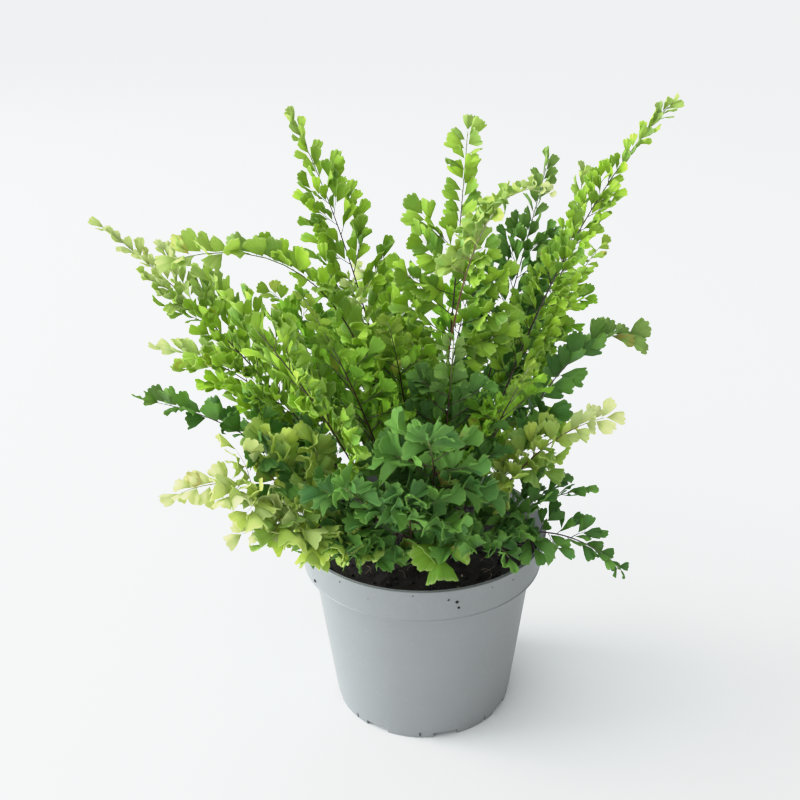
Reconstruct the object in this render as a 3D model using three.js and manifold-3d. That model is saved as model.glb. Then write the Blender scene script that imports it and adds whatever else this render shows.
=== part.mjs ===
// A maidenhair fern in a grey plastic nursery pot. Millimetres, +Z up.
// The origin is the middle of the pot's underside, on the surface that the pot stands on.
// Facing along +Y, +X is to the right.

import * as THREE from 'three';
import { mergeVertices } from 'three/addons/utils/BufferGeometryUtils.js';
import Module from 'manifold-3d';

// Pot: a 12 cm pot, thin walled, with a deep rim band that steps out from a tapering wall.
const RIM_RADIUS = 60;
const POT_HEIGHT = 93.6;
const BAND_HEIGHT = 16.2;
const BAND_FOOT_RADIUS = 57.5;
const WALL_TOP_RADIUS = 53.5;
const BASE_RADIUS = 43.9;
const WALL_THICKNESS = 1.2;
const LIP_WIDTH = 1.8;
const LIP_HEIGHT = 1.4;
const LIP_BEVEL = 0.4;
const FLOOR_RISE = 3;
const FOOT_RING_WIDTH = 3.4;
const CENTRE_PAD_RADIUS = 12;
const CENTRE_PAD_SLOPE = 1.6;
const POT_SEGMENTS = 36;
const POT_COLOR = 0x9ba4a8;
const POT_ROUGHNESS = 0.55;

// Openings in the foot ring and in the raised floor, which let water out.
const FOOT_NOTCHES = 8;
const NOTCH_WIDTH = 12;
const NOTCH_HEIGHT = 2.4;
const NOTCH_CROWN_WIDTH = 9;
const NOTCH_TURN = 0.244;
const DRAIN_HOLES = 4;
const DRAIN_RADIUS = 3.5;
const DRAIN_CIRCLE = 27;
const DRAIN_SIDES = 8;
// How far a cutter reaches past the surfaces that it cuts through.
const CUT_MARGIN = 1.5;

// Soil: fills the pot to just under the rim and rises a little at the fern's crown.
const SEAT_GAP = 0.3;
const SOIL_LEVEL = 87;
const SOIL_CROWN = 2.6;
const CROWN_RADIUS = 24;
const SOIL_EDGE_FALL = 1.6;
const SOIL_RIPPLE = 0.7;
const RIPPLE_TURNS = [0.17, 0.14];
const RIPPLE_SHIFTS = [1, -0.4];
const SOIL_STEP_SLOPE = 1;
const SOIL_SEGMENTS = 24;
const SOIL_TOP_RINGS = [50, 34, 16];
const SOIL_COLOR = 0x2b211b;
const SOIL_ROUGHNESS = 0.95;

// Stalks: each stands in a plain hole in the soil.
const ROOT_DEPTH = 12;
const STALK_RISE = 2;
const STALK_HOLE_RADIUS = 1.8;
const STALK_HOLE_SIDES = 4;
const STALK_HALF_WIDTH = 0.72;
const RIB_TIP_HALF_WIDTH = 0.5;
const BARE_STATIONS = 2;

// Leaflets: fan shapes with a notch in the outer edge, set in pairs along each rib. The lowest pairs
// are side branches with three or five leaflets each. Angles are in radians.
const BLADE_THICKNESS = 0.7;
const LEAFLET_LENGTH = 16;
const TIP_LEAFLET_LENGTH = 12;
const PAIR_NECK = 1.6;
const PAIR_START = 0.15;
const PAIR_CROWDING = 0.9;
const FORWARD_ANGLE = 0.55;
const FORWARD_GAIN = 0.35;
const BASE_FOLD = 0.3;
const SWAY = 0.3;
const BRANCH_DROOP = 3;
const LEAFLET_DROOP = 0.8;
const BRANCH_TAPER = 0.2;
const LEAFLET_TAPER = 0.3;
const LEAF_CLEARANCE = 0.25;
const PROBE_START = 2.2;
const LEAF_ROUGHNESS = 0.6;

// Seeds of the random draws that tilt the leaflets, one for each frond.
const FIRST_SEED = 97;
const SEED_STEP = 31;

// Points of a mesh closer than this are one point.
const MERGE_DISTANCE = 1e-4;

const TONES = {
  young: 0xb4cc6a,
  light: 0x8fbb4a,
  middle: 0x629e3a,
  dark: 0x3f7c3c,
};

// One entry for each frond. root is where its stalk leaves the soil, mid is the point half way
// along its curve and tip is its end. bare is the share of the stalk with no leaflets, spread the
// reach of its longest side branch, roll its turn about its own stalk in degrees, and leaflets how
// many leaflets each side carries at each pair, from the lowest pair up.
const FRONDS = [
  // Tall fronds that make the outline.
  { name: 'frond_top_centre', root: [5, 4], mid: [14, 8, 192], tip: [21, 10, 284],
    bare: 0.40, spread: 36, roll: 75, leaflets: [5, 3, 3, 1, 1, 1], tone: 'light' },
  { name: 'frond_far_left', root: [-17, 0], mid: [-81, -7, 185], tip: [-138, -5, 244],
    bare: 0.36, spread: 34, roll: 0, leaflets: [5, 3, 3, 1, 1], tone: 'light' },
  { name: 'frond_far_right', root: [18, 5], mid: [61, 14, 213], tip: [110, 20, 289],
    bare: 0.34, spread: 28, roll: 0, leaflets: [5, 3, 3, 1, 1], tone: 'light' },
  { name: 'frond_back_left_tall', root: [-7, 14], mid: [-28, 34, 196], tip: [-61, 60, 281],
    bare: 0.34, spread: 32, roll: 0, leaflets: [5, 3, 3, 1, 1], tone: 'light' },
  { name: 'frond_left_arch', root: [-12, -7], mid: [-34, -34, 213], tip: [-95, -70, 243],
    bare: 0.32, spread: 28, roll: 0, leaflets: [5, 3, 3, 1, 1], tone: 'light' },
  { name: 'frond_back_right_dark', root: [12, 11], mid: [38, 27, 180], tip: [60, 45, 262],
    bare: 0.32, spread: 28, roll: 0, leaflets: [5, 3, 1, 1, 1], tone: 'dark' },
  { name: 'frond_back_right_tall', root: [10, 20], mid: [62, 50, 182], tip: [80, 72, 252],
    bare: 0.32, spread: 26, roll: 0, leaflets: [5, 3, 1, 1], tone: 'light' },
  { name: 'frond_young_curl', root: [4, -9], mid: [19, -35, 230], tip: [49, -60, 264],
    bare: 0.50, spread: 15, roll: 30, leaflets: [3, 1, 1, 1], tone: 'young' },
  { name: 'frond_near_left', root: [-13, -15], mid: [-43, -45, 174], tip: [-81, -70, 240],
    bare: 0.32, spread: 36, roll: 0, leaflets: [5, 3, 3, 1, 1], tone: 'light' },
  // Fronds that lean out to the sides.
  { name: 'frond_right_middle', root: [24, 4], mid: [68, 13, 170], tip: [106, 20, 177],
    bare: 0.30, spread: 24, roll: 0, leaflets: [5, 3, 1, 1], tone: 'dark' },
  { name: 'frond_right_light', root: [22, -5], mid: [54, -16, 140], tip: [87, -25, 161],
    bare: 0.26, spread: 34, roll: -20, leaflets: [5, 3, 1, 1], tone: 'young' },
  { name: 'frond_right_low', root: [26, -11], mid: [51, -20, 114], tip: [77, -27, 126],
    bare: 0.30, spread: 20, roll: 0, leaflets: [3, 1, 1], tone: 'dark' },
  { name: 'frond_right_droop', root: [20, -17], mid: [58, -31, 106], tip: [92, -38, 88],
    bare: 0.36, spread: 20, roll: 0, leaflets: [3, 1, 1], tone: 'dark' },
  { name: 'frond_left_dark', root: [-24, -5], mid: [-74, -18, 146], tip: [-124, -25, 170],
    bare: 0.30, spread: 30, roll: 0, leaflets: [5, 3, 1, 1, 1], tone: 'dark' },
  { name: 'frond_left_middle', root: [-23, 6], mid: [-75, 20, 153], tip: [-129, 30, 174],
    bare: 0.30, spread: 32, roll: 0, leaflets: [5, 3, 1, 1], tone: 'light' },
  { name: 'frond_left_low', root: [-20, -13], mid: [-65, -43, 136], tip: [-105, -62, 141],
    bare: 0.30, spread: 38, roll: 0, leaflets: [5, 3, 3, 1], tone: 'young' },
  { name: 'frond_left_droop', root: [-18, -20], mid: [-51, -50, 121], tip: [-77, -74, 129],
    bare: 0.30, spread: 24, roll: 0, leaflets: [3, 1, 1], tone: 'young' },
  // Shorter fronds that fill the heart of the plant.
  { name: 'frond_heart_left', root: [-7, -17], mid: [-22, -40, 163], tip: [-45, -62, 229],
    bare: 0.28, spread: 34, roll: 0, leaflets: [5, 3, 1, 1], tone: 'middle' },
  { name: 'frond_heart', root: [-2, -3], mid: [-7, -22, 164], tip: [-14, -44, 214],
    bare: 0.32, spread: 34, roll: 0, leaflets: [5, 3, 1, 1], tone: 'middle' },
  { name: 'frond_heart_right', root: [4, -17], mid: [10, -38, 156], tip: [13, -58, 211],
    bare: 0.28, spread: 34, roll: 0, leaflets: [5, 3, 1, 1], tone: 'dark' },
  { name: 'frond_right_inner', root: [12, -7], mid: [30, -27, 150], tip: [45, -48, 195],
    bare: 0.30, spread: 32, roll: 0, leaflets: [5, 3, 1, 1], tone: 'middle' },
  { name: 'frond_crown', root: [3, -1], mid: [7, -8, 154], tip: [-6, -14, 195],
    bare: 0.30, spread: 32, roll: 0, leaflets: [5, 3, 1, 1], tone: 'middle' },
  { name: 'frond_heart_back', root: [-4, 7], mid: [-17, 12, 156], tip: [-34, 24, 212],
    bare: 0.30, spread: 32, roll: 0, leaflets: [5, 3, 1, 1], tone: 'light' },
  // Fronds that lean over the near side of the rim.
  { name: 'frond_front_high', root: [1, -23], mid: [5, -58, 146], tip: [1, -97, 186],
    bare: 0.34, spread: 34, roll: 0, leaflets: [5, 3, 1], tone: 'dark' },
  { name: 'frond_front_left', root: [-9, -24], mid: [-21, -54, 130], tip: [-32, -84, 158],
    bare: 0.32, spread: 30, roll: 0, leaflets: [5, 3, 1], tone: 'dark' },
  { name: 'frond_front_middle', root: [-4, -29], mid: [-5, -55, 124], tip: [-6, -80, 153],
    bare: 0.30, spread: 26, roll: 0, leaflets: [3, 3, 1], tone: 'dark' },
  { name: 'frond_front_rim', root: [7, -28], mid: [8, -46, 109], tip: [7, -68, 110],
    bare: 0.24, spread: 22, roll: 0, leaflets: [3, 1], tone: 'light' },
  { name: 'frond_front_right', root: [13, -21], mid: [29, -47, 110], tip: [38, -69, 112],
    bare: 0.28, spread: 26, roll: 0, leaflets: [3, 3, 1], tone: 'dark' },
  { name: 'frond_front_corner', root: [-14, -31], mid: [-30, -49, 106], tip: [-48, -66, 117],
    bare: 0.24, spread: 22, roll: 0, leaflets: [3, 1], tone: 'dark' },
  // Fronds that lean out behind.
  { name: 'frond_back_left', root: [-15, 19], mid: [-51, 57, 160], tip: [-85, 86, 189],
    bare: 0.32, spread: 34, roll: 0, leaflets: [5, 3, 1], tone: 'middle' },
  { name: 'frond_back', root: [-3, 24], mid: [-19, 72, 165], tip: [-34, 113, 192],
    bare: 0.32, spread: 34, roll: 0, leaflets: [5, 3, 1], tone: 'light' },
  { name: 'frond_back_right', root: [19, 16], mid: [61, 58, 166], tip: [98, 96, 209],
    bare: 0.32, spread: 30, roll: 0, leaflets: [5, 3, 1], tone: 'middle' },
  { name: 'frond_back_high', root: [3, 15], mid: [20, 70, 168], tip: [36, 118, 191],
    bare: 0.36, spread: 32, roll: 0, leaflets: [5, 3, 1], tone: 'middle' },
  { name: 'frond_back_left_low', root: [-23, 15], mid: [-62, 50, 119], tip: [-98, 77, 123],
    bare: 0.30, spread: 30, roll: 0, leaflets: [5, 3, 1], tone: 'dark' },
  { name: 'frond_back_low', root: [6, 28], mid: [5, 70, 119], tip: [2, 110, 120],
    bare: 0.30, spread: 30, roll: 0, leaflets: [5, 3, 1], tone: 'dark' },
  { name: 'frond_back_right_low', root: [25, 12], mid: [58, 36, 125], tip: [73, 58, 128],
    bare: 0.30, spread: 28, roll: 0, leaflets: [5, 3, 1], tone: 'light' },
];

const wasm = await Module();
wasm.setup();

const UP = new THREE.Vector3(0, 0, 1);

// Numbers from 0 to 1 by a linear congruential rule, the same for the same seed.
function seededRandom(seed) {
  const [factor, step, range] = [1664525, 1013904223, 2 ** 32];
  let state = seed;
  return () => {
    state = (state * factor + step) % range;
    return state / range;
  };
}

// A closed geometry as a solid, with its shared vertices merged and its empty triangles left out.
function toSolid(geometry) {
  const bare = new THREE.BufferGeometry();
  bare.setAttribute('position', geometry.getAttribute('position').clone());
  if (geometry.index) {
    bare.setIndex(geometry.index.clone());
  }
  const merged = mergeVertices(bare, MERGE_DISTANCE);
  const corners = merged.index.array;
  const kept = [];
  for (let i = 0; i < corners.length; i += 3) {
    const [a, b, c] = [corners[i], corners[i + 1], corners[i + 2]];
    if (a !== b && b !== c && c !== a) {
      kept.push(a, b, c);
    }
  }
  return new wasm.Manifold(new wasm.Mesh({
    numProp: 3,
    vertProperties: new Float32Array(merged.getAttribute('position').array),
    triVerts: new Uint32Array(kept),
  }));
}

function toGeometry(solid) {
  const mesh = solid.getMesh();
  const geometry = new THREE.BufferGeometry();
  geometry.setAttribute('position', new THREE.BufferAttribute(new Float32Array(mesh.vertProperties), 3));
  geometry.setIndex(new THREE.BufferAttribute(new Uint32Array(mesh.triVerts), 1));
  geometry.computeVertexNormals();
  return geometry;
}

// A shape turned about the Z axis from [radius, height] points.
function turned(profile, segments) {
  const points = profile.map(([radius, height]) => new THREE.Vector2(radius, height));
  return new THREE.LatheGeometry(points, segments).rotateX(Math.PI / 2);
}

function cutAway(geometry, cutters) {
  let solid = toSolid(geometry);
  for (const cutter of cutters) {
    solid = solid.subtract(toSolid(cutter));
  }
  return toGeometry(solid);
}

function solidMesh(name, geometry, color, roughness) {
  const material = new THREE.MeshStandardMaterial({ color, roughness, metalness: 0, flatShading: true });
  const mesh = new THREE.Mesh(geometry, material);
  mesh.name = name;
  return mesh;
}

// ---- Pot ----

function potWallRadius(height) {
  const share = height / (POT_HEIGHT - BAND_HEIGHT);
  return BASE_RADIUS + (WALL_TOP_RADIUS - BASE_RADIUS) * share;
}

const BAND_FOOT = POT_HEIGHT - BAND_HEIGHT;
const FLOOR_TOP = FLOOR_RISE + WALL_THICKNESS;
const BAND_INNER_FOOT_RADIUS = BAND_FOOT_RADIUS - WALL_THICKNESS;
const RIM_INNER_RADIUS = RIM_RADIUS - LIP_WIDTH;

function potProfile() {
  const footInner = BASE_RADIUS - FOOT_RING_WIDTH;
  return [
    [0, FLOOR_TOP],
    [potWallRadius(FLOOR_TOP) - WALL_THICKNESS, FLOOR_TOP],
    [WALL_TOP_RADIUS - WALL_THICKNESS, BAND_FOOT],
    [BAND_INNER_FOOT_RADIUS, BAND_FOOT + WALL_THICKNESS],
    [RIM_INNER_RADIUS, POT_HEIGHT],
    [RIM_RADIUS - LIP_BEVEL, POT_HEIGHT],
    [RIM_RADIUS, POT_HEIGHT - LIP_HEIGHT],
    [BAND_FOOT_RADIUS, BAND_FOOT],
    [WALL_TOP_RADIUS, BAND_FOOT],
    [BASE_RADIUS, 0],
    [footInner, 0],
    [footInner, FLOOR_RISE],
    [CENTRE_PAD_RADIUS + CENTRE_PAD_SLOPE, FLOOR_RISE],
    [CENTRE_PAD_RADIUS, 0],
    [0, 0],
  ].reverse();
}

// A low arch with sloping shoulders through the foot ring, turned to its place round the pot.
function footNotch(turn) {
  const foot = NOTCH_WIDTH / 2;
  const crown = NOTCH_CROWN_WIDTH / 2;
  const arch = new THREE.Shape([
    new THREE.Vector2(-foot, -CUT_MARGIN),
    new THREE.Vector2(foot, -CUT_MARGIN),
    new THREE.Vector2(foot, NOTCH_HEIGHT / 2),
    new THREE.Vector2(crown, NOTCH_HEIGHT),
    new THREE.Vector2(-crown, NOTCH_HEIGHT),
    new THREE.Vector2(-foot, NOTCH_HEIGHT / 2),
  ]);
  const depth = FOOT_RING_WIDTH + 2 * CUT_MARGIN;
  const notch = new THREE.ExtrudeGeometry(arch, { depth, bevelEnabled: false });
  notch.rotateX(Math.PI / 2);
  notch.translate(0, -(BASE_RADIUS - depth + CUT_MARGIN), 0);
  return notch.rotateZ(turn);
}

function drainHole(turn) {
  const depth = WALL_THICKNESS + 2 * CUT_MARGIN;
  const hole = new THREE.CylinderGeometry(DRAIN_RADIUS, DRAIN_RADIUS, depth, DRAIN_SIDES);
  hole.rotateX(Math.PI / 2);
  hole.translate(DRAIN_CIRCLE, 0, FLOOR_RISE + WALL_THICKNESS / 2);
  return hole.rotateZ(turn);
}

function potGeometry() {
  const cutters = [];
  for (let i = 0; i < FOOT_NOTCHES; i += 1) {
    cutters.push(footNotch(NOTCH_TURN + i * 2 * Math.PI / FOOT_NOTCHES));
  }
  for (let i = 0; i < DRAIN_HOLES; i += 1) {
    cutters.push(drainHole(i * 2 * Math.PI / DRAIN_HOLES));
  }
  return cutAway(turned(potProfile(), POT_SEGMENTS), cutters);
}

// ---- Soil ----

// Height of the soil's surface: a rise at the crown, a fall at the edge and low ripples.
function soilHeight(x, y) {
  const radius = Math.hypot(x, y);
  const crown = SOIL_CROWN * Math.exp(-((radius / CROWN_RADIUS) ** 2));
  const fall = SOIL_EDGE_FALL * (radius / RIM_RADIUS) ** 4;
  const ripple = Math.sin(RIPPLE_TURNS[0] * x + RIPPLE_SHIFTS[0])
    * Math.cos(RIPPLE_TURNS[1] * y + RIPPLE_SHIFTS[1]);
  return SOIL_LEVEL + crown - fall + SOIL_RIPPLE * ripple;
}

// The soil follows the inside of the wall and steps out above it into the rim band.
function soilGeometry() {
  const wallGap = WALL_THICKNESS + 2 * SEAT_GAP;
  const bottom = FLOOR_TOP + SEAT_GAP;
  const step = BAND_FOOT + WALL_THICKNESS + SEAT_GAP;
  const bandInner = BAND_INNER_FOOT_RADIUS - SEAT_GAP;
  const profile = [
    [0, bottom],
    [potWallRadius(bottom) - wallGap, bottom],
    [WALL_TOP_RADIUS - wallGap, step - SOIL_STEP_SLOPE],
    [bandInner - SEAT_GAP, step + SEAT_GAP],
    [bandInner, SOIL_LEVEL - SOIL_EDGE_FALL],
    ...SOIL_TOP_RINGS.map((radius) => [radius, SOIL_LEVEL]),
    [0, SOIL_LEVEL],
  ];
  const body = turned(profile, SOIL_SEGMENTS);
  const place = body.getAttribute('position');
  for (let i = 0; i < place.count; i += 1) {
    if (place.getZ(i) > SOIL_LEVEL - MERGE_DISTANCE) {
      place.setZ(i, soilHeight(place.getX(i), place.getY(i)));
    }
  }
  return cutAway(body, FRONDS.map(stalkHole));
}

function stalkHole({ root: [x, y] }) {
  const depth = ROOT_DEPTH + SEAT_GAP;
  const height = depth + 2 * CUT_MARGIN;
  const hole = new THREE.CylinderGeometry(
    STALK_HOLE_RADIUS,
    STALK_HOLE_RADIUS,
    height,
    STALK_HOLE_SIDES,
  );
  hole.rotateX(Math.PI / 2);
  return hole.translate(x, y, soilHeight(x, y) - depth + height / 2);
}

// ---- Fronds ----

// The frond's curve: a parabola through the top of its root, its mid point and its tip.
function frondCurve({ root: [x, y], mid, tip }) {
  const start = new THREE.Vector3(x, y, soilHeight(x, y) + STALK_RISE);
  const end = new THREE.Vector3(...tip);
  const bend = new THREE.Vector3(...mid).multiplyScalar(2).sub(start.clone().add(end).multiplyScalar(0.5));
  return new THREE.QuadraticBezierCurve3(start, bend, end);
}

// The place and directions of the rib at a share of its length. side points to the left of a frond
// seen from above with its tip away, and normal out of its upper face.
function ribFrame(frond, curve, share) {
  const centre = curve.getPointAt(share);
  const along = curve.getTangentAt(share);
  const [rootX, rootY] = frond.root;
  const outward = new THREE.Vector3(frond.tip[0] - rootX, frond.tip[1] - rootY, 0).normalize();
  const side = UP.clone().cross(outward);
  side.addScaledVector(along, -side.dot(along)).normalize();
  side.applyAxisAngle(along, THREE.MathUtils.degToRad(frond.roll));
  const normal = along.clone().cross(side);
  return { centre, along, side, normal };
}

function ribHalfWidth(share) {
  return THREE.MathUtils.lerp(STALK_HALF_WIDTH, RIB_TIP_HALF_WIDTH, share);
}

// The four corners of the rib's section: left and right, upper and lower.
function ribCorners(frame, halfWidth) {
  const corner = (sideSign, faceSign) => frame.centre.clone()
    .addScaledVector(frame.side, sideSign * halfWidth)
    .addScaledVector(frame.normal, faceSign * halfWidth);
  return {
    left: { upper: corner(1, 1), lower: corner(1, -1) },
    right: { upper: corner(-1, 1), lower: corner(-1, -1) },
  };
}

// Shares of the rib's length at which its pairs of leaflets stand, closer towards the tip.
function pairShares({ bare, leaflets }) {
  return leaflets.map((_, pair) => {
    const upBlade = (pair + PAIR_START) / (leaflets.length + PAIR_START);
    return bare + (1 - bare) * upBlade ** PAIR_CROWDING;
  });
}

// A triangle soup that grows into one closed shell.
class Shell {
  constructor() {
    this.corners = [];
  }

  triangle(a, b, c) {
    this.corners.push(...a.toArray(), ...b.toArray(), ...c.toArray());
  }

  quad(a, b, c, d) {
    this.triangle(a, b, c);
    this.triangle(a, c, d);
  }

  geometry() {
    const geometry = new THREE.BufferGeometry();
    geometry.setAttribute('position', new THREE.BufferAttribute(new Float32Array(this.corners), 3));
    const merged = mergeVertices(geometry, MERGE_DISTANCE);
    merged.computeVertexNormals();
    return merged;
  }
}

// Fills a flat outline on both faces with the same triangles, and walls its edge.
// edge holds { flat, upper, lower } corners, anticlockwise seen from the upper face. Where open is
// true, the last corner isn't walled to the first, so that the plate joins what lies there.
function addPlate(shell, edge, open) {
  const triangles = THREE.ShapeUtils.triangulateShape(edge.map(({ flat }) => flat), []);
  for (const [a, b, c] of triangles) {
    shell.triangle(edge[a].upper, edge[b].upper, edge[c].upper);
    shell.triangle(edge[c].lower, edge[b].lower, edge[a].lower);
  }
  const walls = open ? edge.length - 1 : edge.length;
  for (let i = 0; i < walls; i += 1) {
    const here = edge[i];
    const next = edge[(i + 1) % edge.length];
    shell.quad(here.upper, here.lower, next.lower, next.upper);
  }
}

// A fan's edge as [along, across] points round its end, from its right corner to its left one.
function fanEdge([startAlong, startAcross], length, turn, rays) {
  return rays.map(([angle, reach]) => [
    startAlong + length * reach * Math.cos(turn + angle),
    startAcross + length * reach * Math.sin(turn + angle),
  ]);
}

// Rays of a fan: [angle, share of its length]. The notched one has two lobes.
const NOTCHED_FAN = [[-0.66, 0.8], [-0.24, 1], [0.06, 0.82], [0.5, 0.97]];
const PLAIN_FAN = [[-0.5, 0.86], [0.02, 1], [0.5, 0.84]];

// Side branches: where each pair of leaflets forks off, how long they are, where the end leaflet
// starts and how long that is, all as shares of the branch's length.
const BRANCH_STEM = 0.5;
const FORK_NECK = 2.2;
const FORK_TURN = 1.08;
const BRANCHES = {
  3: { forks: [0.4], side: 0.42, tipStart: 0.5, tip: 0.5 },
  5: { forks: [0.25, 0.54], side: 0.32, tipStart: 0.62, tip: 0.38 },
};

// Outline of a single leaflet, or of a side branch with three or five, out from the rib.
function pinnaEdge(length, leaflets) {
  if (leaflets === 1) {
    return fanEdge([0, 0], length, 0, NOTCHED_FAN);
  }
  const { forks, side, tipStart, tip } = BRANCHES[leaflets];
  const rightSide = forks.flatMap((fork) => [
    [fork * length - FORK_NECK / 2, -BRANCH_STEM],
    ...fanEdge([fork * length, -BRANCH_STEM], side * length, -FORK_TURN, PLAIN_FAN),
  ]);
  const lastFork = [forks.at(-1) * length + FORK_NECK / 2, -BRANCH_STEM];
  const leftSide = [...rightSide, lastFork].reverse().map(([along, across]) => [along, -across]);
  return [
    ...rightSide,
    lastFork,
    ...fanEdge([tipStart * length, 0], tip * length, 0, NOTCHED_FAN),
    ...leftSide,
  ];
}

// Maps [along, across] points of a leaflet to its upper and lower faces. It bends down along its
// length by droop, a height at its end.
function bladePlacer({ origin, along, across, normal }, length, droop, halfThickness) {
  return ([u, v]) => {
    const middle = origin.clone()
      .addScaledVector(along, u)
      .addScaledVector(across, v)
      .addScaledVector(normal, -droop * (u / length) ** 2);
    return {
      flat: new THREE.Vector2(u, v),
      upper: middle.clone().addScaledVector(normal, halfThickness),
      lower: middle.clone().addScaledVector(normal, -halfThickness),
    };
  };
}

// The directions of a leaflet that leaves the rib on one side, lifted out of the frond's plane.
function pinnaFrame(rib, sideSign, forward, fold) {
  const lifted = rib.side.clone().multiplyScalar(sideSign * Math.cos(fold));
  lifted.addScaledVector(rib.normal, Math.sin(fold));
  const along = lifted.clone().multiplyScalar(Math.cos(forward));
  along.addScaledVector(rib.along, Math.sin(forward));
  const normal = rib.along.clone().cross(lifted).multiplyScalar(sideSign);
  const across = normal.clone().cross(along);
  return { origin: rib.centre, along, across, normal };
}

// A thicker copy of a leaflet's blade, used to find out whether the leaflet has room.
function probeSolid(frame, length, droop, edge) {
  const place = bladePlacer(frame, length, droop, BLADE_THICKNESS / 2 + LEAF_CLEARANCE);
  const shell = new Shell();
  const outline = [[PROBE_START, -BRANCH_STEM], ...edge, [PROBE_START, BRANCH_STEM]];
  addPlate(shell, outline.map(place), false);
  return toSolid(shell.geometry());
}

function boundsOf(solid) {
  const { min, max } = solid.boundingBox();
  return new THREE.Box3(new THREE.Vector3(...min), new THREE.Vector3(...max));
}

const obstacles = [];

function addObstacle(solid) {
  obstacles.push({ solid, bounds: boundsOf(solid) });
}

function hasRoom(solid) {
  const bounds = boundsOf(solid);
  return obstacles.every((other) => {
    if (!other.bounds.intersectsBox(bounds)) {
      return true;
    }
    const shared = other.solid.intersect(solid);
    const clear = shared.isEmpty();
    shared.delete();
    return clear;
  });
}

// Ways to lift, turn and shrink a leaflet, tried in order until it has room: [fold, forward, size].
const TRIES = [
  [0, 0, 1], [0.28, 0, 1], [-0.3, 0, 1], [0.5, 0.15, 0.95], [-0.5, 0.1, 0.9], [0.15, 0.3, 0.85],
  [-0.15, -0.25, 0.85], [0.7, 0, 0.8], [-0.7, 0, 0.8], [0.3, 0.2, 0.68], [-0.3, -0.1, 0.68],
  [0, 0, 0.55],
];

// The first of the tries that has room, or null where none has.
function placedLeaf(frameFor, length, leaflets, droop) {
  for (const [fold, forward, size] of TRIES) {
    const frame = frameFor(forward, fold);
    const reach = length * size;
    const edge = pinnaEdge(reach, leaflets);
    const probe = probeSolid(frame, reach, droop, edge);
    if (hasRoom(probe)) {
      addObstacle(probe);
      return { frame, edge, place: bladePlacer(frame, reach, droop, BLADE_THICKNESS / 2) };
    }
    probe.delete();
  }
  return null;
}

// The sections of a rib from its buried foot to its end. A section with a pair is the near one of
// the two that a pair of leaflets springs from.
function ribSections(frond) {
  const curve = frondCurve(frond);
  const half = PAIR_NECK / 2 / curve.getLength();
  const shares = [];
  for (let i = 0; i < BARE_STATIONS; i += 1) {
    shares.push({ share: frond.bare * i / BARE_STATIONS });
  }
  pairShares(frond).forEach((share, pair) => {
    shares.push({ share: share - half, pair }, { share: share + half });
  });
  shares.push({ share: 1 });
  const sections = shares.map((section) => {
    const frame = ribFrame(frond, curve, section.share);
    return { ...section, frame, corners: ribCorners(frame, ribHalfWidth(section.share)) };
  });
  return [footSection(frond, sections[0]), ...sections];
}

// The buried end of the stalk, straight down from where it leaves the soil.
function footSection(frond, { frame: { centre, side } }) {
  const drop = centre.z - soilHeight(...frond.root) + ROOT_DEPTH;
  const along = UP.clone();
  const level = side.clone().setZ(0).normalize();
  const frame = {
    centre: centre.clone().addScaledVector(UP, -drop),
    along,
    side: level,
    normal: along.clone().cross(level),
  };
  return { frame, corners: ribCorners(frame, STALK_HALF_WIDTH) };
}

// Walls the rib between two sections, leaving a side open where a leaflet springs from it.
function addRibStretch(shell, { left: leftA, right: rightA }, { left: leftB, right: rightB }, open) {
  shell.quad(leftA.upper, rightA.upper, rightB.upper, leftB.upper);
  shell.quad(rightA.lower, leftA.lower, leftB.lower, rightB.lower);
  if (!open.left) {
    shell.quad(leftA.lower, leftA.upper, leftB.upper, leftB.lower);
  }
  if (!open.right) {
    shell.quad(rightA.upper, rightA.lower, rightB.lower, rightB.upper);
  }
}

// The rib alone, closed at both ends. leaves, one entry for each pair, says where it stays open.
function addRib(shell, sections, leaves) {
  const foot = sections[0].corners;
  shell.quad(foot.left.upper, foot.left.lower, foot.right.lower, foot.right.upper);
  for (let i = 1; i < sections.length; i += 1) {
    const open = leaves[sections[i - 1].pair] ?? {};
    addRibStretch(shell, sections[i - 1].corners, sections[i].corners, open);
  }
}

function ribSolid(sections) {
  const shell = new Shell();
  addRib(shell, sections, []);
  const { left, right } = sections.at(-1).corners;
  shell.quad(left.upper, right.upper, right.lower, left.lower);
  return toSolid(shell.geometry());
}

// A corner of the rib as a point of a leaflet's outline.
function neckCorner({ upper, lower }, { origin, along, across }) {
  const middle = upper.clone().add(lower).multiplyScalar(0.5).sub(origin);
  return { flat: new THREE.Vector2(middle.dot(along), middle.dot(across)), upper, lower };
}

// Joins a leaflet's blade to the open stretch of the rib between two of its corners.
function addLeaf(shell, leaf, first, last) {
  const blade = leaf.edge.map(leaf.place);
  addPlate(shell, [neckCorner(first, leaf.frame), ...blade, neckCorner(last, leaf.frame)], true);
}

// The rib ends in a leaflet that points on along it.
function tipLeaf(sections) {
  const { centre, along, side, normal } = sections.at(-1).frame;
  const frame = { origin: centre, along, across: side, normal };
  return placedLeaf(() => frame, TIP_LEAFLET_LENGTH, 1, 0);
}

// The pair of leaflets or side branches that springs from the rib between two sections.
function leafPair(frond, near, far, sway) {
  const count = frond.leaflets[near.pair];
  const upBlade = near.pair / frond.leaflets.length;
  const branch = count > 1;
  const length = branch
    ? frond.spread * (1 - BRANCH_TAPER * near.pair)
    : LEAFLET_LENGTH * (1 - LEAFLET_TAPER * upBlade);
  const droop = branch ? BRANCH_DROOP : LEAFLET_DROOP;
  const centre = near.frame.centre.clone().add(far.frame.centre).multiplyScalar(0.5);
  const rib = { ...near.frame, centre };
  const grow = (sideSign) => {
    const ahead = FORWARD_ANGLE + FORWARD_GAIN * upBlade + sway();
    const lift = BASE_FOLD + sway();
    const frameFor = (forward, fold) => pinnaFrame(rib, sideSign, ahead + forward, lift + fold);
    return placedLeaf(frameFor, length, count, droop);
  };
  return { left: grow(1), right: grow(-1) };
}

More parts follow.
